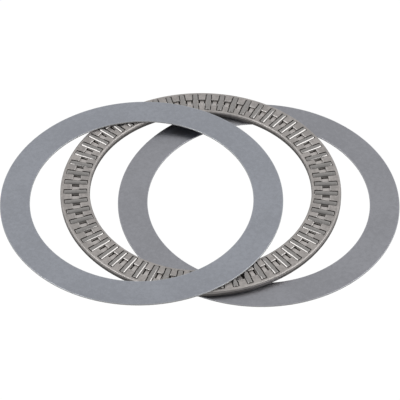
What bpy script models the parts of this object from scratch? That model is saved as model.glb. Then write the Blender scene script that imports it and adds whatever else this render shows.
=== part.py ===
"""Thrust needle roller bearing: a caged circle of needles and two thin flat washers.

The three rings are loose. They lie fanned out, each on the one below: the bottom washer on
the ground, the cage of needles on it, the top washer on the needles. Stacked on one axis
they are a complete bearing, 150 mm bore, 190 mm outside.

Metres, +Z up. The origin is on the ground, in the middle of the fanned layout.
Run with: blender --background --python part.py
"""
import math

import bmesh
import bpy
from mathutils import Matrix

# ---- Driving dimensions ------------------------------------------------------------------

BORE = 0.150                  # shaft size, the bore of all three rings
SECTION = 0.020               # radial width of each ring, bore to outside
WASHER_THICKNESS = 0.001

NEEDLE_COUNT = 60
NEEDLE_DIAMETER = 0.005
NEEDLE_CHAMFER = 0.0003
NEEDLE_SIDES = 12

SHEET = 0.0005                # thickness of the cage's two pressed sheets
OUTER_RIM = 0.0022            # solid land of the cage outside the pockets
INNER_RIM = 0.0018            # solid land of the cage inside the pockets
RECESS_WIDTH = 0.0049         # radial width of the sunk channel between the raised lands
NEEDLE_STAND_OUT = 0.0005     # how far the needles stand above and below the cage
RIM_DEPTH = 0.0019            # how far the upper sheet's rims reach below the needles' axes
RIM_BEND = 0.0005             # how much the bend from a land into its rim takes off the corner
LIP = 0.00035                 # how far each pocket edge reaches over its needle

CLEARANCE = 0.0003            # needle to pocket, and ring to ring where they lie on each other

# Where each ring's axis stands in the fanned layout
BOTTOM_WASHER_AT = (0.03934, -0.00175)
CAGE_AT = (0.00032, 0.00577)
TOP_WASHER_AT = (-0.03934, -0.00577)
CAGE_TURN = math.radians(2.2)  # the cage's first pocket, from +X

# The bearing has a needle in every pocket, but at most this many are made as solids
MOST_NEEDLE_SOLIDS = 56

WASHER_STEPS = 96
CAGE_STEPS = 120               # at most, and always a whole number in one pocket pitch
CLEARANCE_SIDES = 8

# ---- Sizes that follow from them ---------------------------------------------------------

INSIDE_RADIUS = BORE / 2
OUTSIDE_RADIUS = INSIDE_RADIUS + SECTION
POCKET_INNER_END = INSIDE_RADIUS + INNER_RIM
POCKET_OUTER_END = OUTSIDE_RADIUS - OUTER_RIM
POCKET_LENGTH = POCKET_OUTER_END - POCKET_INNER_END
PITCH_RADIUS = (POCKET_INNER_END + POCKET_OUTER_END) / 2
PITCH_ANGLE = 2 * math.pi / NEEDLE_COUNT

NEEDLE_RADIUS = NEEDLE_DIAMETER / 2
NEEDLE_LENGTH = POCKET_LENGTH - 2 * CLEARANCE
POCKET_WIDTH = NEEDLE_DIAMETER - 2 * LIP
CAGE_HALF_HEIGHT = NEEDLE_RADIUS - NEEDLE_STAND_OUT

NEEDLE_AXIS_Z = WASHER_THICKNESS + CLEARANCE + NEEDLE_RADIUS
TOP_WASHER_Z = NEEDLE_AXIS_Z + NEEDLE_RADIUS + CLEARANCE


# ---- Helpers -----------------------------------------------------------------------------

def clear_scene():
    for obj in list(bpy.data.objects):
        bpy.data.objects.remove(obj, do_unlink=True)


def new_collection(name):
    collection = bpy.data.collections.new(name)
    bpy.context.scene.collection.children.link(collection)
    return collection


def steel(name, colour, roughness):
    """A bare steel finish."""
    material = bpy.data.materials.new(name)
    material.use_nodes = True
    shader = material.node_tree.nodes["Principled BSDF"]
    shader.inputs["Base Color"].default_value = (*colour, 1.0)
    shader.inputs["Roughness"].default_value = roughness
    shader.inputs["Metallic"].default_value = 1.0
    return material


def add_object(name, mesh, collection, material=None):
    obj = bpy.data.objects.new(name, mesh)
    collection.objects.link(obj)
    if material:
        mesh.materials.append(material)
    return obj


def shade(mesh):
    """Smooth round faces, crisp edges."""
    mesh.shade_smooth()
    mesh.set_sharp_from_angle(angle=math.radians(35))


def turned_ring(name, outline, steps, collection, material):
    """A closed outline of (radius, height) points, turned about Z into a ring."""
    points = [(radius, 0.0, height) for radius, height in outline]
    edges = [(i, (i + 1) % len(points)) for i in range(len(points))]
    profile = bpy.data.meshes.new(name)
    profile.from_pydata(points, edges, [])
    ring = add_object(name, profile, collection)
    screw = ring.modifiers.new("turn", "SCREW")
    screw.axis = "Z"
    screw.angle = 2 * math.pi
    screw.steps = steps
    screw.render_steps = steps
    screw.use_merge_vertices = True
    screw.merge_threshold = 0.00001
    depsgraph = bpy.context.evaluated_depsgraph_get()
    turned = bpy.data.meshes.new_from_object(ring.evaluated_get(depsgraph))
    ring.modifiers.clear()
    ring.data = turned
    turned.name = name
    turned.materials.append(material)
    shade(turned)
    return ring


def pocket_frame(number):
    """The place of a pocket in the cage's own frame: local X runs out along its needle."""
    turn = Matrix.Rotation((number - 1) * PITCH_ANGLE, 4, "Z")
    return turn @ Matrix.Translation((PITCH_RADIUS, 0.0, 0.0))


def lay_along_x():
    """Tips a cylinder from its own Z onto X, with corners kept at its top and bottom."""
    return Matrix.Rotation(math.pi / 2, 4, "Y")


# ---- Washers -----------------------------------------------------------------------------

def make_washer(name, at, height, collection, material):
    """A flat ring, its underside at the given height."""
    outline = [
        (OUTSIDE_RADIUS, WASHER_THICKNESS),
        (OUTSIDE_RADIUS, 0.0),
        (INSIDE_RADIUS, 0.0),
        (INSIDE_RADIUS, WASHER_THICKNESS),
    ]
    washer = turned_ring(name, outline, WASHER_STEPS, collection, material)
    washer.location = (*at, height)
    return washer


# ---- Cage --------------------------------------------------------------------------------

def sheet_outline(rim_outside, rim_inside, rim_foot):
    """An upper sheet's section: rim, raised land, sunk channel, raised land, rim.

    Heights are from the needles' axes. The channel's floor lies just above them, where it
    meets the floor of the sheet below.
    """
    recess_outside = PITCH_RADIUS + RECESS_WIDTH / 2
    recess_inside = PITCH_RADIUS - RECESS_WIDTH / 2
    land_top = CAGE_HALF_HEIGHT
    land_under = CAGE_HALF_HEIGHT - SHEET
    floor_under = CLEARANCE / 2
    floor_top = floor_under + SHEET
    return [
        (rim_outside - RIM_BEND, land_top),
        (rim_outside, land_top - RIM_BEND),
        (rim_outside, rim_foot),
        (rim_outside - SHEET, rim_foot),
        (rim_outside - SHEET, land_under),
        (recess_outside + SHEET, land_under),
        (recess_outside + SHEET, floor_under),
        (recess_inside - SHEET, floor_under),
        (recess_inside - SHEET, land_under),
        (rim_inside + SHEET, land_under),
        (rim_inside + SHEET, rim_foot),
        (rim_inside, rim_foot),
        (rim_inside, land_top - RIM_BEND),
        (rim_inside + RIM_BEND, land_top),
        (recess_inside, land_top),
        (recess_inside, floor_top),
        (recess_outside, floor_top),
        (recess_outside, land_top),
    ]


def turned_over(outline):
    """The same section upside down, still running down its outer side."""
    return [(radius, -height) for radius, height in reversed(outline)]


def make_slot_cutter(collection):
    """One straight-sided slot for each pocket, narrower than the needle."""
    mesh = bpy.data.meshes.new("pocket_slots")
    tool = bmesh.new()
    size = Matrix.Diagonal((POCKET_LENGTH, POCKET_WIDTH, 3 * NEEDLE_DIAMETER, 1.0))
    for number in range(1, NEEDLE_COUNT + 1):
        bmesh.ops.create_cube(tool, size=1.0, matrix=pocket_frame(number) @ size)
    tool.to_mesh(mesh)
    tool.free()
    return add_cutter("pocket_slots", mesh, collection)


def make_needle_space_cutter(collection):
    """The running space of each needle, a clearance away from it all round, flat side up."""
    mesh = bpy.data.meshes.new("needle_spaces")
    tool = bmesh.new()
    half_side = math.pi / CLEARANCE_SIDES
    radius = (NEEDLE_RADIUS + CLEARANCE) / math.cos(half_side)
    flat_side_up = Matrix.Rotation(half_side, 4, "X")
    for number in range(1, NEEDLE_COUNT + 1):
        bmesh.ops.create_cone(
            tool, cap_ends=True, segments=CLEARANCE_SIDES, radius1=radius, radius2=radius,
            depth=POCKET_LENGTH, matrix=pocket_frame(number) @ flat_side_up @ lay_along_x())
    tool.to_mesh(mesh)
    tool.free()
    return add_cutter("needle_spaces", mesh, collection)


def add_cutter(name, mesh, collection):
    cutter = add_object(name, mesh, collection)
    cutter.hide_render = True
    cutter.display_type = "WIRE"
    return cutter


def make_sheet(name, outline, pockets, collection, material):
    """One pressed and punched sheet of the cage."""
    steps = NEEDLE_COUNT * max(CAGE_STEPS // NEEDLE_COUNT, 1)
    sheet = turned_ring(name, outline, steps, collection, material)
    for cutter in pockets:
        cut = sheet.modifiers.new(cutter.name, "BOOLEAN")
        cut.operation = "DIFFERENCE"
        cut.solver = "EXACT"
        cut.object = cutter
    sheet.location = (*CAGE_AT, NEEDLE_AXIS_Z)
    sheet.rotation_euler = (0.0, 0.0, CAGE_TURN)
    return sheet


def make_cage(collection, cutters, material):
    """Two sheets back to back; the upper one's rims close over the lower one's.

    The raised lands of the upper sheet hold the needles down, those of the lower one hold
    them up.
    """
    upper_outline = sheet_outline(OUTSIDE_RADIUS, INSIDE_RADIUS, -RIM_DEPTH)
    nested = SHEET + CLEARANCE
    lower_outline = turned_over(sheet_outline(
        OUTSIDE_RADIUS - nested, INSIDE_RADIUS + nested, nested - CAGE_HALF_HEIGHT))
    pockets = (make_slot_cutter(cutters), make_needle_space_cutter(cutters))
    upper = make_sheet("cage_upper_sheet", upper_outline, pockets, collection, material)
    make_sheet("cage_lower_sheet", lower_outline, pockets, collection, material)
    for cutter in pockets:
        cutter.parent = upper
    return upper


# ---- Needles -----------------------------------------------------------------------------

def needle_mesh(material):
    """A chamfered roller, its axis along its own X and its centre at the origin."""
    mesh = bpy.data.meshes.new("needle")
    tool = bmesh.new()
    bmesh.ops.create_cone(
        tool, cap_ends=True, segments=NEEDLE_SIDES, radius1=NEEDLE_RADIUS,
        radius2=NEEDLE_RADIUS, depth=NEEDLE_LENGTH, matrix=lay_along_x())
    rims = [edge for edge in tool.edges if abs(edge.verts[0].co.x - edge.verts[1].co.x) < CLEARANCE]
    bmesh.ops.bevel(tool, geom=rims, offset=NEEDLE_CHAMFER, segments=1, affect="EDGES")
    tool.to_mesh(mesh)
    tool.free()
    mesh.materials.append(material)
    shade(mesh)
    return mesh


def is_left_out(number):
    """Spreads the needles that have no solid evenly: 15, 30, 45 and 60 of 60."""
    left_out = max(NEEDLE_COUNT - MOST_NEEDLE_SOLIDS, 0)
    return number * left_out % NEEDLE_COUNT < left_out


def make_needles(cage, collection, material):
    """A needle in each pocket, each turning about its own X, which points out from the cage."""
    mesh = needle_mesh(material)
    for number in range(1, NEEDLE_COUNT + 1):
        if is_left_out(number):
            continue
        needle = add_object(f"needle_{number:02d}", mesh, collection)
        needle.parent = cage
        needle.matrix_local = pocket_frame(number)


# ---- Assembly ----------------------------------------------------------------------------

def main():
    clear_scene()
    parts = new_collection("thrust_needle_roller_bearing")
    cutters = new_collection("cutters")
    washer_steel = steel("washer_steel", (0.29, 0.30, 0.33), 0.35)
    cage_steel = steel("cage_steel", (0.27, 0.25, 0.24), 0.40)
    needle_steel = steel("needle_steel", (0.62, 0.61, 0.60), 0.15)
    make_washer("bottom_washer", BOTTOM_WASHER_AT, 0.0, parts, washer_steel)
    cage = make_cage(parts, cutters, cage_steel)
    make_needles(cage, parts, needle_steel)
    make_washer("top_washer", TOP_WASHER_AT, TOP_WASHER_Z, parts, washer_steel)


main()
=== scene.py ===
# %% [markdown]
# # A thrust needle roller bearing, laid out for its portrait
#
# The bearing has three loose rings: two thin flat washers, and between them a pressed steel
# cage that holds sixty needle rollers like the spokes of a wheel. Here the rings lie fanned
# out on a table, each on the one below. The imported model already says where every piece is
# and how it moves, so this script only gives each piece its fine shape and its finish.

import math

import bmesh
import bpy
from mathutils import Matrix, Vector


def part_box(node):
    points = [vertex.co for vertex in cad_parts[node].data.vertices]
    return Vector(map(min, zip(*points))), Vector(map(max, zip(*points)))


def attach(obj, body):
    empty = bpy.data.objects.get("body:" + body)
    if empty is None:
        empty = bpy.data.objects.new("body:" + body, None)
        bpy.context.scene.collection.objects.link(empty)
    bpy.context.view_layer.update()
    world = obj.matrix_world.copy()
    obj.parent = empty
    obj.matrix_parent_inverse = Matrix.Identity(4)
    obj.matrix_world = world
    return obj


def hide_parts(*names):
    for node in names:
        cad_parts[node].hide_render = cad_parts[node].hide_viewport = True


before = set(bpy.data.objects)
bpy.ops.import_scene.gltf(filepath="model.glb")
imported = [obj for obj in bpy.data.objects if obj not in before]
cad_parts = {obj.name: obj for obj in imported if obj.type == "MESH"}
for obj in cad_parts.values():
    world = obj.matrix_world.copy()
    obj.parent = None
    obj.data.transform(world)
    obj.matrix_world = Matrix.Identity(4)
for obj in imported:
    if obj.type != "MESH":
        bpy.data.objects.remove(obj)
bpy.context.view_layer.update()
MM = 0.001
scene = bpy.context.scene

# %% [markdown]
# ## Camera
#
# A long lens from far away keeps the rings' ellipses honest: near and far edges are almost
# the same width. The camera looks down at a little over 45 degrees. Its place is worked out
# from that angle, the distance and the point it aims at, so that each can be changed alone.

# %% Camera
LOOK_DOWN = math.radians(45.73)
CAMERA_ROLL = math.radians(-0.235)
CAMERA_DISTANCE = 1293.7 * MM
AIM = Vector((-0.2, -0.6, 0.0)) * MM
FOCAL_LENGTH = 172.18          # of a 36 mm wide sensor

back_from_aim = Vector((0.0, -math.cos(LOOK_DOWN), math.sin(LOOK_DOWN)))
tilt = Matrix.Rotation(math.pi / 2 - LOOK_DOWN, 4, "X")
roll = Matrix.Rotation(CAMERA_ROLL, 4, "Z")
lens = bpy.data.cameras.new("camera")
lens.sensor_width = 36.0
lens.lens = FOCAL_LENGTH
lens.clip_start = 0.05
lens.clip_end = 20.0
camera = bpy.data.objects.new("camera", lens)
camera.matrix_world = Matrix.Translation(AIM + back_from_aim * CAMERA_DISTANCE) @ tilt @ roll
scene.collection.objects.link(camera)
scene.camera = camera
print(f"camera {CAMERA_DISTANCE:.3f} m away, looking down {math.degrees(LOOK_DOWN):.1f} degrees")

# %% [markdown]
# ## Shader maths in plain Python
#
# A finish is a sum of many small patterns. Wiring each one by hand in the node editor hides
# the idea, so a small class wraps one output socket and lets Python's own operators add the
# Math nodes: `1 - mask * 0.4` reads as what it is. Anything that isn't arithmetic comes
# from a single method that takes the node's type, its settings and its sockets.

# %% A socket that does arithmetic
class Signal:
    """One output socket of a material's node tree."""

    def __init__(self, tree, socket=None):
        self.tree = tree
        self.socket = socket

    def node(self, kind, settings=None, sockets=None, output=0):
        """Adds a node: its settings first, then a value or a link for each socket."""
        made = self.tree.nodes.new("ShaderNode" + kind)
        for name, value in (settings or {}).items():
            if name == "stops":
                set_stops(made.color_ramp, value)
            else:
                setattr(made, name, value)
        for name, value in (sockets or {}).items():
            if isinstance(value, Signal):
                self.tree.links.new(value.socket, made.inputs[name])
            else:
                made.inputs[name].default_value = value
        return Signal(self.tree, made.outputs[output])

    def math(self, operation, *values):
        return self.node("Math", {"operation": operation}, dict(enumerate(values)))

    def __add__(self, other):
        return self.math("ADD", self, other)

    def __radd__(self, other):
        return self.math("ADD", other, self)

    def __sub__(self, other):
        return self.math("SUBTRACT", self, other)

    def __rsub__(self, other):
        return self.math("SUBTRACT", other, self)

    def __mul__(self, other):
        return self.math("MULTIPLY", self, other)

    def __rmul__(self, other):
        return self.math("MULTIPLY", other, self)

    def __truediv__(self, other):
        return self.math("DIVIDE", self, other)

    def __abs__(self):
        return self.math("ABSOLUTE", self)

    def clamp(self):
        """Holds the value between 0 and 1."""
        return self.node("Clamp", None, {"Value": self})

    def between(self, low, high):
        """0 at low, 1 at high, and a smooth step from one to the other."""
        settings = {"interpolation_type": "SMOOTHSTEP"}
        return self.node("MapRange", settings, {"Value": self, "From Min": low, "From Max": high})

    def pick(self, first, second):
        """The first colour where this is 0, the second where it is 1."""
        settings = {"data_type": "RGBA"}
        return self.node("Mix", settings, {0: self, 6: first, 7: second}, output=2)

    def stretch(self, x, y, z):
        """Scales a vector along its axes."""
        return self.node("VectorMath", {"operation": "MULTIPLY"}, {0: self, 1: (x, y, z)})

    def length(self):
        return self.node("VectorMath", {"operation": "LENGTH"}, {0: self}, output="Value")

    def noise(self, scale, detail=2.0, rough=0.5):
        """Cloudy variation round 0.5, read at this vector."""
        return self.node("TexNoise", None, {
            "Vector": self, "Scale": scale, "Detail": detail, "Roughness": rough})


def set_stops(ramp, stops):
    """Gives a colour ramp its (position, grey) stops."""
    while len(ramp.elements) < len(stops):
        ramp.elements.new(1.0)
    for element, (position, grey) in zip(ramp.elements, stops):
        element.position = position
        element.color = (grey, grey, grey, 1.0)


def colour(red, green, blue):
    return (red, green, blue, 1.0)


# %% A bare metal to start from
def new_metal(name):
    """A metallic material: its shader node, and a Signal on the piece's own coordinates."""
    material = bpy.data.materials.new(name)
    material.use_nodes = True
    tree = material.node_tree
    shader = tree.nodes["Principled BSDF"]
    shader.inputs["Metallic"].default_value = 1.0
    place = Signal(tree).node("TexCoord", output="Object")
    return material, shader, place


def plug(signal, shader, socket):
    signal.tree.links.new(signal.socket, shader.inputs[socket])


def dent(height, strength, depth):
    """A Bump node: relief of the given depth in metres."""
    return height.node("Bump", None, {
        "Height": height, "Strength": strength, "Distance": depth})


# %% [markdown]
# ## Table and light
#
# The rings were lit for a catalogue: a white table, a large soft light on either side, and
# a plain grey wall behind that the flat steel mirrors. Steel shows its surroundings and
# nothing else, so the surroundings are what has to be right. The table is made twice. One
# sheet is what the steel and the light see. The other is what the camera sees, a brighter
# white that keeps only a breath of shadow.

# %% Table
TABLE_SIZE = 6.0
LIT_TABLE_DROP = 0.05 * MM      # both tables lie just under the lowest ring
SEEN_TABLE_DROP = 0.10 * MM


def make_table(name, height, white, glow):
    """A plain white sheet, with some light of its own."""
    mesh = bpy.data.meshes.new(name)
    sheet = bmesh.new()
    bmesh.ops.create_grid(sheet, x_segments=1, y_segments=1, size=TABLE_SIZE / 2)
    sheet.to_mesh(mesh)
    sheet.free()
    table = bpy.data.objects.new(name, mesh)
    table.location = (0.0, 0.0, height)
    scene.collection.objects.link(table)
    material = bpy.data.materials.new(name)
    material.use_nodes = True
    shader = material.node_tree.nodes["Principled BSDF"]
    shader.inputs["Base Color"].default_value = colour(white, white, white)
    shader.inputs["Roughness"].default_value = 1.0
    shader.inputs["Specular IOR Level"].default_value = 0.0
    shader.inputs["Emission Color"].default_value = colour(1.0, 1.0, 1.0)
    shader.inputs["Emission Strength"].default_value = glow
    mesh.materials.append(material)
    return table


lit_table = make_table("lit_table", -LIT_TABLE_DROP, white=0.62, glow=0.0)
lit_table.visible_camera = False
seen_table = make_table("seen_table", -SEEN_TABLE_DROP, white=0.80, glow=0.85)
seen_table.visible_glossy = False
seen_table.visible_diffuse = False
seen_table.visible_shadow = False
print(f"table {TABLE_SIZE} m square")

# %% Soft lights
SOFTBOX_REACH = 3.0            # from the middle of the table
SOFTBOX_HEIGHT_ANGLE = math.radians(50.0)
SOFTBOX_SIZE = (2.75, 0.90)    # along the table, and up
SOFTBOX_RADIANCE = 1.85


def make_softbox(name, side, back):
    """A rectangular light at the left or the right, facing the middle of the table."""
    light = bpy.data.lights.new(name, "AREA")
    light.shape = "RECTANGLE"
    light.size, light.size_y = SOFTBOX_SIZE
    light.energy = SOFTBOX_RADIANCE * math.pi * SOFTBOX_SIZE[0] * SOFTBOX_SIZE[1]
    towards = Vector((side * math.cos(SOFTBOX_HEIGHT_ANGLE), 0.0, math.sin(SOFTBOX_HEIGHT_ANGLE)))
    along = Vector((0.0, 1.0, 0.0))
    turn = Matrix((along, towards.cross(along), towards)).transposed().to_4x4()
    box = bpy.data.objects.new(name, light)
    box.matrix_world = Matrix.Translation(towards * SOFTBOX_REACH + along * back) @ turn
    scene.collection.objects.link(box)


make_softbox("softbox_left", side=-1, back=-0.60)
make_softbox("softbox_right", side=1, back=-0.05)
print(f"2 soft lights, {SOFTBOX_SIZE[0]} x {SOFTBOX_SIZE[1]} m, {SOFTBOX_REACH} m away")

# %% Surroundings
# Grey by how far a direction points to the back: dark behind the camera, mid grey at the
# back, where the flat steel looks.
ROOM_GREYS = [
    (0.0, 0.05), (0.10, 0.11), (0.20, 0.24), (0.32, 0.34), (0.50, 0.38), (0.70, 0.42), (0.85, 0.48),
]
world = bpy.data.worlds.new("studio")
world.use_nodes = True
room = Signal(world.node_tree)
direction = room.node("TexCoord", output="Generated")
backwards = direction.node("SeparateXYZ", None, {"Vector": direction}, output="Y")
grey = backwards.node("ValToRGB", {"stops": ROOM_GREYS}, {0: backwards * 0.5 + 0.5})
plug(grey, world.node_tree.nodes["Background"], "Color")
scene.world = world
scene.view_settings.view_transform = "Standard"
print(f"surroundings in {len(ROOM_GREYS)} greys")

# %% [markdown]
# ## Measuring the rings
#
# Every ring's centre, radii and heights are read from the CAD model instead of being typed
# again. A node's mesh is already in place, so the middle of its box is the ring's axis and
# the nearest and furthest vertices give the bore and the outside.

# %% Ring sizes
def measure_ring(node):
    """Centre, inner and outer radius, and height of a CAD ring."""
    low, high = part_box(node)
    middle = (low + high) / 2
    radii = [(vertex.co - middle).xy.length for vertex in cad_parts[node].data.vertices]
    return middle, min(radii), max(radii), high.z - low.z


for ring_node in ("bottom_washer", "cage_lower_sheet", "cage_upper_sheet", "top_washer"):
    middle, inner, outer, height = measure_ring(ring_node)
    print(f"{ring_node}: bore {2 * inner / MM:.1f}, outside {2 * outer / MM:.1f}, "
          f"height {height / MM:.2f} mm")


def place_piece(name, mesh, middle, material):
    """An object at the given centre, with the finish in its slot."""
    piece = bpy.data.objects.new(name, mesh)
    piece.location = middle
    mesh.materials.clear()
    mesh.materials.append(material)
    scene.collection.objects.link(piece)
    return piece


# %% [markdown]
# ## Washer steel
#
# A bearing washer is stamped from hardened strip, then tumbled and lapped. That leaves a
# satin grey with no single grain direction: a fine even tooth, hairline scratches that cross
# each other, and faint clouds where the lapping was a little finer. The edges that the punch
# pulled over are worn brighter, and a painted highlight brightens them further; the sheared
# side below is coarse. All of it is worked out from the distance to the ring's axis and from
# noise, so it sits still on the steel when the washer turns.

# %% Hairline scratches
SCRATCH_ANGLES = (20, 75, 128, 163)
SCRATCH_SPACING = 0.25 * MM
SCRATCH_LENGTH = 9 * MM
SCRATCH_AMOUNT = 0.30


def hairlines(place, angle):
    """Fine scratches along one direction, 1 on a scratch and 0 elsewhere."""
    turned = place.node("VectorRotate", {"rotation_type": "Z_AXIS"}, {
        "Vector": place, "Angle": math.radians(angle)})
    streaks = turned.stretch(1 / SCRATCH_LENGTH, 1 / SCRATCH_SPACING, 1.0).noise(1.0, 1.0)
    return streaks.between(1.0 - SCRATCH_AMOUNT, 1.0 - SCRATCH_AMOUNT + 0.06)


# %% Washer finish
SHEARED_SIDE = (0.95, 0.95, 0.96)


def washer_steel(name, tint, satin, inner, outer):
    """Satin ground steel with worn edges lit up by a painted highlight, on a ring of the given
    radii.
    """
    material, shader, place = new_metal(name)
    clouds = place.noise(22.0, 3.0)
    tooth = place.noise(2600.0, 2.0)
    scratches = hairlines(place, SCRATCH_ANGLES[0])
    for angle in SCRATCH_ANGLES[1:]:
        scratches = scratches + hairlines(place, angle)
    scratches = scratches.clamp()
    radius = place.stretch(1.0, 1.0, 0.0).length()
    from_edge = radius.math("MINIMUM", radius - inner, outer - radius)
    # Near the edges the steel is worn brighter and smoother, and the lighter colour there is also a
    # painted highlight.
    edge = 1 - from_edge.between(0.05 * MM, 0.6 * MM)
    edge_wear_and_highlight = edge * (0.5 + place.noise(160.0, 2.0))
    dull = tuple(channel * 0.93 for channel in tint)
    bright = tuple(channel * 1.06 for channel in tint)
    mottle = (clouds + place.noise(330.0, 3.0) + place.noise(1100.0, 2.0)) / 3
    body = mottle.between(0.40, 0.60).pick(colour(*dull), colour(*bright))
    lighter = tuple(min(channel * 1.45, 0.95) for channel in tint)
    sheared = 1 - from_edge.between(0.01 * MM, 0.05 * MM)
    body = sheared.pick(edge_wear_and_highlight.clamp().pick(body, colour(*lighter)), colour(*SHEARED_SIDE))
    plug(body, shader, "Base Color")
    rough = satin + (clouds - 0.5) * 0.10 + (tooth - 0.5) * 0.08 + scratches * 0.05
    plug((rough - edge_wear_and_highlight * 0.08 + sheared * 0.40).clamp(), shader, "Roughness")
    relief = tooth * 0.5 + scratches * -0.35
    plug(dent(relief, 0.25, 0.02 * MM), shader, "Normal")
    return material


# %% [markdown]
# ## The washers
#
# Each washer is a flat ring one millimetre thick. Punching rolls the upper edge over and
# leaves the lower edge crisp, and tumbling breaks both. A turned profile gives exactly that:
# the section is drawn once, with a larger arc above than below, and swept round the axis.

# %% Turning a section
RING_STEPS = 360
ROLLED_EDGE = 0.22 * MM
BROKEN_EDGE = 0.08 * MM


def arc(centre, radius, start, stop, steps):
    """Points along a circular arc, angles in degrees."""
    points = []
    for step in range(steps + 1):
        angle = math.radians(start + (stop - start) * step / steps)
        points.append((centre[0] + radius * math.cos(angle), centre[1] + radius * math.sin(angle)))
    return points


def turn_section(name, section, steps):
    """A closed section of (radius, height) points, turned round the Z axis."""
    mesh = bpy.data.meshes.new(name)
    ring = bmesh.new()
    loops = []
    for step in range(steps):
        angle = 2 * math.pi * step / steps
        loops.append([ring.verts.new((r * math.cos(angle), r * math.sin(angle), h))
                      for r, h in section])
    for step in range(steps):
        here, there = loops[step], loops[(step + 1) % steps]
        for i in range(len(section)):
            j = (i + 1) % len(section)
            ring.faces.new((here[i], there[i], there[j], here[j]))
    bmesh.ops.recalc_face_normals(ring, faces=ring.faces)
    ring.to_mesh(mesh)
    ring.free()
    mesh.shade_smooth()
    mesh.set_sharp_from_angle(angle=math.radians(50))
    return mesh


# %% Washers
def make_washer(name, node, body, tint, satin):
    """A washer in place of the CAD one, with the tint and roughness given."""
    middle, inner, outer, height = measure_ring(node)
    top, foot = height / 2, -height / 2
    section = (
        arc((outer - ROLLED_EDGE, top - ROLLED_EDGE), ROLLED_EDGE, 90, 0, 4)
        + arc((outer - BROKEN_EDGE, foot + BROKEN_EDGE), BROKEN_EDGE, 0, -90, 2)
        + arc((inner + BROKEN_EDGE, foot + BROKEN_EDGE), BROKEN_EDGE, -90, -180, 2)
        + arc((inner + ROLLED_EDGE, top - ROLLED_EDGE), ROLLED_EDGE, 180, 90, 4)
    )
    finish = washer_steel(name + "_finish", tint, satin, inner, outer)
    washer = place_piece(name, turn_section(name, section, RING_STEPS), middle, finish)
    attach(washer, body)
    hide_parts(node)
    print(f"{name}: {len(washer.data.polygons)} faces")
    return washer


make_washer("lower_ring", "bottom_washer", "bottom_washer",
            (0.56, 0.568, 0.613), 0.36)
make_washer("upper_ring", "top_washer", "top_washer",
            (0.595, 0.622, 0.688), 0.34)

# %% [markdown]
# ## Cage steel
#
# The cage is pressed from soft strip, then tumbled with stones. It comes out a warmer, duller
# grey than the washers, with a soft pebbled tooth, brighter on the bends that rub against
# everything, and a painted highlight brightens those bends further. The sides of the punched
# pockets are dark: the punch tears them rather than cuts them, and the stones don't reach them.
# Painted shade spreads from them over the channel's floor, and also darkens the channel's walls,
# the rims' feet and the faces between the two sheets. The channel's floor gets painted light.

# %% Cage finish
NEEDLE_SPACE = 2.8 * MM        # radius that the sheets keep clear round each needle
LIP_SIDE = 2.2 * MM            # half the width of a pocket where its lips hold the needle
CAGE_DULL = (0.60, 0.568, 0.548)
CAGE_BRIGHT = (0.76, 0.72, 0.695)
# Colour of the worn bends, made brighter still as a painted highlight.
BEND_WEAR_HIGHLIGHT_COLOUR = (0.93, 0.895, 0.87)
# Painted light: the channel's floor, brighter than the lands round it.
CHANNEL_FLOOR_PAINTED_LIGHT = (0.90, 0.86, 0.835)
# Near black for the torn sides of the pockets, and for painted shade in the cage.
TORN_EDGE_AND_SHADE = (0.045, 0.04, 0.035)
GAP_SHADE_SPREAD = 0.30 * MM        # how far painted shade from the gap beside each needle spreads over the channel's floor
RIM_WEAR_AND_HIGHLIGHT = 0.35                # the rims' share of the wear and painted highlight that the channel's bends get


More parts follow.
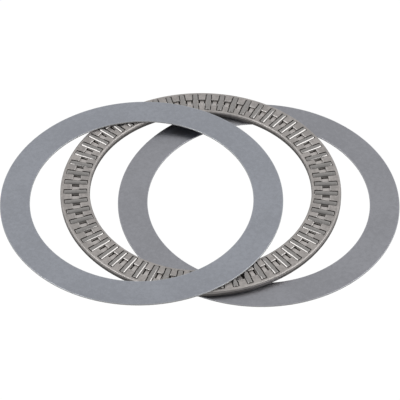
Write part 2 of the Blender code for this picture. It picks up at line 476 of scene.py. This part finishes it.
def cage_steel(name, bends, pockets, first_pocket, pocket_ends):
    """Tumbled sheet: worn, with a painted highlight, along the given radii; dark on the torn sides
    of the pockets; painted shade on the channel's walls, the rims' feet and between the sheets;
    painted light on the channel's floor.
    """
    material, shader, place = new_metal(name)
    clouds = place.noise(120.0, 3.0)
    pebbles = place.noise(1500.0, 3.0, 0.6)
    radius = place.stretch(1.0, 1.0, 0.0).length()
    across = place.node("SeparateXYZ", None, {"Vector": place}, output="X")
    back = place.node("SeparateXYZ", None, {"Vector": place}, output="Y")
    height = place.node("SeparateXYZ", None, {"Vector": place}, output="Z")
    depth = abs(height)

    # Bends rub bright where they stand up, and a painted highlight brightens them there too.
    raised = depth.between(0.6 * MM, 1.9 * MM)
    bend_wear_and_highlight = None
    for bend, wear_and_highlight_share in zip(bends, (RIM_WEAR_AND_HIGHLIGHT, 1.0, 1.0, RIM_WEAR_AND_HIGHLIGHT)):
        near = (1 - abs(radius - bend).between(0.15 * MM, 0.85 * MM)) * wear_and_highlight_share
        bend_wear_and_highlight = near if bend_wear_and_highlight is None else bend_wear_and_highlight + near
    bend_wear_and_highlight = (bend_wear_and_highlight * raised * (0.55 + clouds * 0.9)).clamp()
    mottle = (clouds + place.noise(600.0, 3.0)) / 2
    shade = mottle.between(0.38, 0.62).pick(colour(*CAGE_DULL), colour(*CAGE_BRIGHT))
    shade = (bend_wear_and_highlight * 0.7).pick(shade, colour(*BEND_WEAR_HIGHLIGHT_COLOUR))

    # How far a point lies from the nearest needle's axis, and how wide its pocket is there.
    half_pitch = math.pi / pockets
    angle = back.math("ARCTAN2", back, across) - first_pocket
    from_needle = abs(angle.math("WRAP", angle, half_pitch, -half_pitch)) * radius
    room = height.math("MAXIMUM", NEEDLE_SPACE ** 2 - height * height, LIP_SIDE ** 2)
    side = room.math("SQRT", room)

    # Painted light makes the channel's floor brighter than the lands. Painted shade darkens its
    # walls and the feet of the rims.
    floor = 1 - depth.between(0.7 * MM, 1.0 * MM)
    shade = (floor * depth.between(0.3 * MM, 0.45 * MM)).pick(shade, colour(*CHANNEL_FLOOR_PAINTED_LIGHT))
    # Painted shade along the lower part of each channel wall.
    for wall in bends[1:3]:
        steep = 1 - abs(radius - wall).between(0.26 * MM, 0.42 * MM)
        low = depth.between(0.5 * MM, 0.7 * MM) * (1 - depth.between(1.1 * MM, 1.7 * MM))
        shade = (steep * low * 0.7).pick(shade, colour(*TORN_EDGE_AND_SHADE))
    # Painted shade darkening the rims towards their feet.
    rim = depth.math("MAXIMUM", radius - bends[0], bends[3] - radius).between(0.0, 0.4 * MM)
    shade = (rim * (1 - height.between(-1.4 * MM, 1.2 * MM)) * 0.7).pick(shade, colour(*TORN_EDGE_AND_SHADE))

    # The punched sides of the pockets are torn and dark, except at their ends, and painted shade
    # spreads from them over the channel's floor. The faces between the two sheets get painted
    # shade.
    tear_and_gap_shade = 1 - (from_needle - side - floor * GAP_SHADE_SPREAD).between(0.0, 0.08 * MM)
    inner_end, outer_end = pocket_ends
    tear_and_gap_shade = tear_and_gap_shade * (radius - inner_end).between(0.05 * MM, 0.4 * MM)
    tear_and_gap_shade = tear_and_gap_shade * (outer_end - radius).between(0.05 * MM, 0.4 * MM)
    shade_between_sheets = 1 - depth.between(0.1 * MM, 0.2 * MM)
    plug(tear_and_gap_shade.math("MAXIMUM", tear_and_gap_shade, shade_between_sheets).pick(shade, colour(*TORN_EDGE_AND_SHADE)), shader, "Base Color")
    rough = 0.56 + (clouds - 0.5) * 0.15 + (pebbles - 0.5) * 0.15 - bend_wear_and_highlight * 0.30
    plug(rough.clamp(), shader, "Roughness")
    plug(dent(pebbles + clouds * 0.5, 0.5, 0.06 * MM), shader, "Normal")
    return material


# %% [markdown]
# ## The cage
#
# The cage is two pressed sheets back to back. Each one is folded into a raised land, a
# shallow channel and a second raised land, with a rim at either side, and a punch cuts the
# pockets through both. The upper sheet's rims close down over the lower one's. The upper
# lands hold the needles down and the lower lands hold them up. Each sheet is modelled the
# way the press sees it: one surface in the middle of the sheet, laid out as a grid whose
# columns follow the pockets' sides, with the punched faces left out. A Solidify modifier
# then gives it its thickness, and a Bevel breaks the cut edges.

# %% Sheet section
SHEET = 0.50 * MM
CHANNEL_BEND = 0.50 * MM       # radius of the sheet's middle in the channel's bends
RIM_BEND = 1.20 * MM           # and where the lands turn into the rims
OUTER_RIM = 2.2 * MM           # solid land outside the pockets
INNER_RIM = 1.8 * MM           # solid land inside the pockets
CHANNEL_WIDTH = 4.9 * MM
POCKETS = 60                   # and as many needles
FLOOR_LIFT = 0.02 * MM         # from the needles' axes to the underside of the channel's floor
POCKET_CORNER = 0.5 * MM
CUT_EDGE = 0.07 * MM           # how far the cut edges are broken
BEND_STEPS = 6
LONGEST_CELL = 0.9 * MM
CORNER_SHARES = (0.0, 0.12, 0.35, 0.68, 1.0)


def round_corners(points, radii, steps):
    """An open outline with an arc of the given radius at each of its inner corners."""
    rounded = [Vector(points[0])]
    for before, corner, after, radius in zip(points, points[1:], points[2:], radii):
        corner = Vector(corner)
        to_before = (Vector(before) - corner).normalized()
        to_after = (Vector(after) - corner).normalized()
        half = to_before.angle(to_after) / 2
        centre = corner + (to_before + to_after).normalized() * (radius / math.sin(half))
        first = corner + to_before * (radius / math.tan(half)) - centre
        last = corner + to_after * (radius / math.tan(half)) - centre
        for step in range(steps + 1):
            rounded.append(centre + first.lerp(last, step / steps).normalized() * radius)
    rounded.append(Vector(points[-1]))
    return rounded


def subdivide(points, longest, marks):
    """Adds points so that no stretch is longer than given, and one at each marked radius."""
    finer = [points[0]]
    for here, there in zip(points, points[1:]):
        cuts = {0.0, 1.0}
        pieces = max(1, math.ceil((there - here).length / longest))
        cuts.update(step / pieces for step in range(pieces + 1))
        if abs(there.x - here.x) > 1e-6:
            shares = [(mark - here.x) / (there.x - here.x) for mark in marks]
            cuts.update(share for share in shares if 0.0 < share < 1.0)
        ordered = sorted(cuts)
        for before, share in zip(ordered, ordered[1:]):
            if (there - here).length * (share - before) > 0.01 * MM or share == 1.0:
                finer.append(here.lerp(there, share))
    return finer


# %% Cage sheet
BAR_CELLS = 6                  # grid cells across the bar between two pockets
POCKET_CELLS = 4               # and across a pocket, where the rims pass it


def pocket_half_width(radius, height, inner_end, outer_end):
    """Half the pocket's width at a point of the sheet, and whether the point is inside it."""
    from_end = min(radius - inner_end, outer_end - radius)
    if from_end < POCKET_CORNER:
        reach = min(max(from_end, 0.0), POCKET_CORNER)
        corner = POCKET_CORNER - math.sqrt(POCKET_CORNER ** 2 - (POCKET_CORNER - reach) ** 2)
        return LIP_SIDE - corner, from_end > -1e-7
    clear = math.sqrt(max(NEEDLE_SPACE ** 2 - height ** 2, 0.0))
    return max(LIP_SIDE, clear), True


def make_cage_sheet(name, section, count, turn, inner_end, outer_end):
    """The middle surface of the sheet, with its pockets left open."""
    mesh = bpy.data.meshes.new(name)
    sheet = bmesh.new()
    pitch = 2 * math.pi / count
    rows = []
    inside = []
    for radius, height in section:
        half, open_here = pocket_half_width(radius, height, inner_end, outer_end)
        swing = math.asin(half / radius)
        row = []
        for pocket in range(count):
            middle = turn + pocket * pitch
            angles = [middle - swing + 2 * swing * i / POCKET_CELLS for i in range(POCKET_CELLS)]
            rest = pitch - 2 * swing
            angles += [middle + swing + rest * i / BAR_CELLS for i in range(BAR_CELLS)]
            row += [sheet.verts.new((radius * math.cos(a), radius * math.sin(a), height))
                    for a in angles]
        rows.append(row)
        inside.append(open_here)
    columns = count * (POCKET_CELLS + BAR_CELLS)
    for upper in range(len(rows) - 1):
        punched = inside[upper] and inside[upper + 1]
        for column in range(columns):
            if punched and column % (POCKET_CELLS + BAR_CELLS) < POCKET_CELLS:
                continue
            beside = (column + 1) % columns
            sheet.faces.new((rows[upper][column], rows[upper + 1][column],
                             rows[upper + 1][beside], rows[upper][beside]))
    loose = [vertex for vertex in sheet.verts if not vertex.link_faces]
    bmesh.ops.delete(sheet, geom=loose, context="VERTS")
    bmesh.ops.recalc_face_normals(sheet, faces=sheet.faces)
    sheet.to_mesh(mesh)
    sheet.free()
    return mesh


# %% Thickness and broken edges
def settle(piece, sharp_angle):
    """Applies the modifiers and shades the result smooth, with crisp corners kept."""
    depsgraph = bpy.context.evaluated_depsgraph_get()
    final = bpy.data.meshes.new_from_object(piece.evaluated_get(depsgraph))
    piece.modifiers.clear()
    piece.data = final
    final.name = piece.name
    final.shade_smooth()
    final.set_sharp_from_angle(angle=math.radians(sharp_angle))


def make_sheet(name, node, body, down):
    """One of the cage's sheets; down is 1 for the upper one, whose rims point down."""
    middle, inner, outer, _ = measure_ring(node)
    low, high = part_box(node)
    first_low, first_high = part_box("needle_01")
    to_first = (first_low + first_high) / 2 - middle
    turn = math.atan2(to_first.y, to_first.x)
    middle.z = (first_low.z + first_high.z) / 2
    top, foot = (high.z, low.z) if down == 1 else (low.z, high.z)
    land = (top - middle.z) * down - SHEET / 2
    foot = (foot - middle.z) * down
    inner_end, outer_end = CAGE_BORE + INNER_RIM, CAGE_OUTSIDE - OUTER_RIM
    pitch_radius = (outer_end + inner_end) / 2
    wall_out = pitch_radius + (CHANNEL_WIDTH + SHEET) / 2
    wall_in = pitch_radius - (CHANNEL_WIDTH + SHEET) / 2
    floor = FLOOR_LIFT + SHEET / 2
    corners = [
        (outer - SHEET / 2, foot), (outer - SHEET / 2, land),
        (wall_out, land), (wall_out, floor), (wall_in, floor), (wall_in, land),
        (inner + SHEET / 2, land), (inner + SHEET / 2, foot),
    ]
    bends = [RIM_BEND, CHANNEL_BEND, CHANNEL_BEND, CHANNEL_BEND, CHANNEL_BEND, RIM_BEND]
    marks = []
    for share in CORNER_SHARES:
        marks += [inner_end + share * POCKET_CORNER, outer_end - share * POCKET_CORNER]
    section = subdivide(round_corners(corners, bends, BEND_STEPS), LONGEST_CELL, marks)
    mesh = make_cage_sheet(name, section, POCKETS, turn, inner_end, outer_end)
    if down != 1:
        mesh.transform(Matrix.Diagonal((1.0, 1.0, -1.0, 1.0)))
        mesh.flip_normals()
    # Radii of the worn bends, which also get the painted highlight.
    worn_highlit_bends = (outer - 0.5 * MM, wall_out, wall_in, inner + 0.5 * MM)
    finish = cage_steel(name + "_finish", worn_highlit_bends, POCKETS, turn, (inner_end, outer_end))
    sheet = place_piece(name, mesh, middle, finish)
    thick = sheet.modifiers.new("thickness", "SOLIDIFY")
    thick.thickness = SHEET
    thick.offset = 0.0
    thick.use_even_offset = True
    broken = sheet.modifiers.new("broken edges", "BEVEL")
    broken.width = CUT_EDGE
    broken.segments = 2
    broken.limit_method = "ANGLE"
    broken.angle_limit = math.radians(50)
    weigh = sheet.modifiers.new("flat faces stay flat", "WEIGHTED_NORMAL")
    weigh.keep_sharp = True
    settle(sheet, 60)
    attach(sheet, body)
    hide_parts(node)
    print(f"{name}: {len(section)} rows, {len(sheet.data.polygons)} faces")
    return sheet


_, CAGE_BORE, CAGE_OUTSIDE, _ = measure_ring("cage_upper_sheet")
make_sheet("upper_pressed_sheet", "cage_upper_sheet", "cage", 1)
make_sheet("lower_pressed_sheet", "cage_lower_sheet", "cage", -1)

# %% [markdown]
# ## Needle steel
#
# Needles are ground between wheels while they spin, so every mark runs round them, like the
# rings on a reed. The finish is close to a mirror: the long soft lights become thin white
# lines, and the marks only fray their edges a little.

# %% Needle finish
def needle_steel(name):
    """Polished bearing steel with fine grinding marks round the needle's own X axis."""
    material, shader, place = new_metal(name)
    rings = place.stretch(1.0, 0.02, 0.02).noise(9000.0, 2.0)
    bands = place.stretch(1.0, 0.10, 0.10).noise(900.0, 2.0)
    handled = place.noise(500.0, 3.0)
    shade = handled.between(0.35, 0.7).pick(colour(0.54, 0.52, 0.505), colour(0.61, 0.59, 0.575))
    plug(shade, shader, "Base Color")
    rough = 0.17 + (rings - 0.5) * 0.08 + (bands - 0.5) * 0.06 + handled.between(0.5, 0.8) * 0.05
    plug(rough.clamp(), shader, "Roughness")
    plug(dent(rings + bands * 0.5, 0.12, 0.01 * MM), shader, "Normal")
    return material


# %% [markdown]
# ## The needles
#
# Sixty of the same roller: a turned piece with a rounded edge at each end. One mesh serves
# them all, and each is rolled to its own angle so that no two marks line up. The CAD model
# has a solid for fifty-six of them. The other four fill the pockets that are left, and
# travel with the cage.

# %% Needles
NEEDLE_SIDES = 64
NEEDLE_EDGE = 0.30 * MM
END_DOME = 0.06 * MM
GOLDEN_ANGLE = math.radians(137.508)


def turn_needle(name, radius, length):
    """A roller along X: flat ends with a shallow dome, and a generous edge radius."""
    mesh = bpy.data.meshes.new(name)
    needle = bmesh.new()
    half = length / 2
    dome = [(half, 0.0), (half - END_DOME * 0.3, radius * 0.45)]
    corner = arc((half - END_DOME - NEEDLE_EDGE, radius - NEEDLE_EDGE), NEEDLE_EDGE, 0, 90, 6)
    profile = dome + corner
    profile += [(x * 0.5, r) for x, r in corner[-1:]]
    profile += [(-x, r) for x, r in reversed(profile)]
    loops = []
    for x, r in profile:
        if r == 0.0:
            loops.append([needle.verts.new((x, 0.0, 0.0))])
            continue
        angles = [2 * math.pi * side / NEEDLE_SIDES for side in range(NEEDLE_SIDES)]
        loops.append([needle.verts.new((x, r * math.cos(a), r * math.sin(a))) for a in angles])
    for here, there in zip(loops, loops[1:]):
        for side in range(NEEDLE_SIDES):
            beside = (side + 1) % NEEDLE_SIDES
            corners = [here[side % len(here)], here[beside % len(here)],
                       there[beside % len(there)], there[side % len(there)]]
            needle.faces.new(list(dict.fromkeys(corners)))
    bmesh.ops.recalc_face_normals(needle, faces=needle.faces)
    needle.to_mesh(mesh)
    needle.free()
    mesh.shade_smooth()
    mesh.set_sharp_from_angle(angle=math.radians(40))
    return mesh


def needle_middle(node):
    low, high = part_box(node)
    return (low + high) / 2


cage_middle = measure_ring("cage_upper_sheet")[0]
first_middle = needle_middle("needle_01")
first_place = first_middle - cage_middle
first_place.z = 0.0
FIRST_ANGLE = math.atan2(first_place.y, first_place.x)
along = Vector((math.cos(FIRST_ANGLE), math.sin(FIRST_ANGLE), 0.0))
first_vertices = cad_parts["needle_01"].data.vertices
reach = [(vertex.co - first_middle).dot(along) for vertex in first_vertices]
needle_length = max(reach) - min(reach)
needle_radius = (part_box("needle_01")[1].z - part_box("needle_01")[0].z) / 2
needle_mesh = turn_needle("needle_roller", needle_radius, needle_length)
needle_finish = needle_steel("needle_finish")

for number in range(1, POCKETS + 1):
    angle = FIRST_ANGLE + (number - 1) * 2 * math.pi / POCKETS
    outwards = Vector((math.cos(angle), math.sin(angle), 0.0))
    middle = cage_middle + outwards * first_place.length
    middle.z = first_middle.z
    roller = place_piece(f"roller_{number:02d}", needle_mesh, middle, needle_finish)
    spin = Matrix.Rotation(number * GOLDEN_ANGLE, 4, "X")
    roller.matrix_world = Matrix.Translation(middle) @ Matrix.Rotation(angle, 4, "Z") @ spin
    node = f"needle_{number:02d}"
    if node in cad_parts:
        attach(roller, node)
        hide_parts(node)
    else:
        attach(roller, "cage")
print(f"{POCKETS} needles, {needle_length / MM:.2f} mm long, "
      f"{2 * needle_radius / MM:.2f} mm across")
